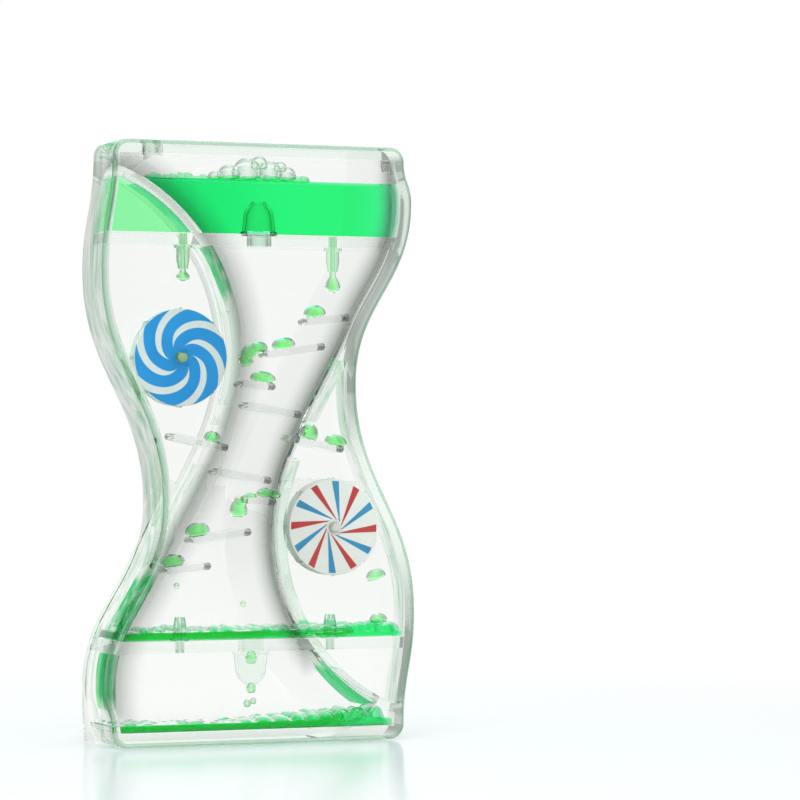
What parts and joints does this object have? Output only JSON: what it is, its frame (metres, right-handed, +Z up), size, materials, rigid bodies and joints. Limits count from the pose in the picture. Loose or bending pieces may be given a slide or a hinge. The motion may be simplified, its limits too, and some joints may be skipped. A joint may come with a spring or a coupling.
{
  "type": "liquid motion timer",
  "caption": "Clear hourglass-shaped timer in which dyed drops fall from an upper chamber, roll over sloping ledges and turn paddle wheels on their way to the base.",
  "frame": {"origin": "centre of the base's bounding rectangle, on the surface the timer stands on", "axes": "+Z up, +X to the right seen from the front, +Y from the flat front cover to the rear bulge"},
  "size_m": [0.078, 0.027, 0.14],
  "materials": {
    "clear_plastic": "clear, polished",
    "dyed_liquid": "clear, wet",
    "blue_print": "printed swirl",
    "pale_print": "printed stripes",
    "pin_plastic": "polished"
  },
  "bodies": {
    "casing": {"base_dyed_pool": "dyed_liquid", "filler_plug": "clear_plastic", "front_cover": "clear_plastic", "ledge_beads": "dyed_liquid", "lower_axle_pin": "pin_plastic", "lower_drip_nozzle": "clear_plastic", "lower_drip_plate": "clear_plastic", "lower_dyed_layer": "dyed_liquid", "lower_leaf_layer": "dyed_liquid", "lower_leaf_nozzle": "clear_plastic", "lower_leaf_plate": "clear_plastic", "lower_vent_bell": "clear_plastic", "nozzle_drips": "dyed_liquid", "rear_shell": "clear_plastic", "upper_axle_pin": "pin_plastic", "upper_drip_nozzle": "clear_plastic", "upper_drip_plate": "clear_plastic", "upper_dyed_pool": "dyed_liquid", "upper_leaf_nozzle": "clear_plastic", "upper_leaf_plate": "clear_plastic", "upper_leaf_pool": "dyed_liquid", "upper_vent_bell": "clear_plastic"},
    "upper_wheel": {"upper_wheel": "clear_plastic", "upper_front_disc": "blue_print", "upper_rear_disc": "blue_print"},
    "lower_wheel": {"lower_wheel": "clear_plastic", "lower_front_disc": "pale_print", "lower_rear_disc": "pale_print"}
  },
  "joints": [
    {"name": "upper_wheel_spin", "type": "hinge", "parent": "casing", "child": "upper_wheel", "pos_m": [-0.01911, -0.0066, 0.08981], "axis": [0, -1, 0], "continuous": true},
    {"name": "lower_wheel_spin", "type": "hinge", "parent": "casing", "child": "lower_wheel", "pos_m": [0.01911, -0.0066, 0.05019], "axis": [0, -1, 0], "continuous": true}
  ]
}
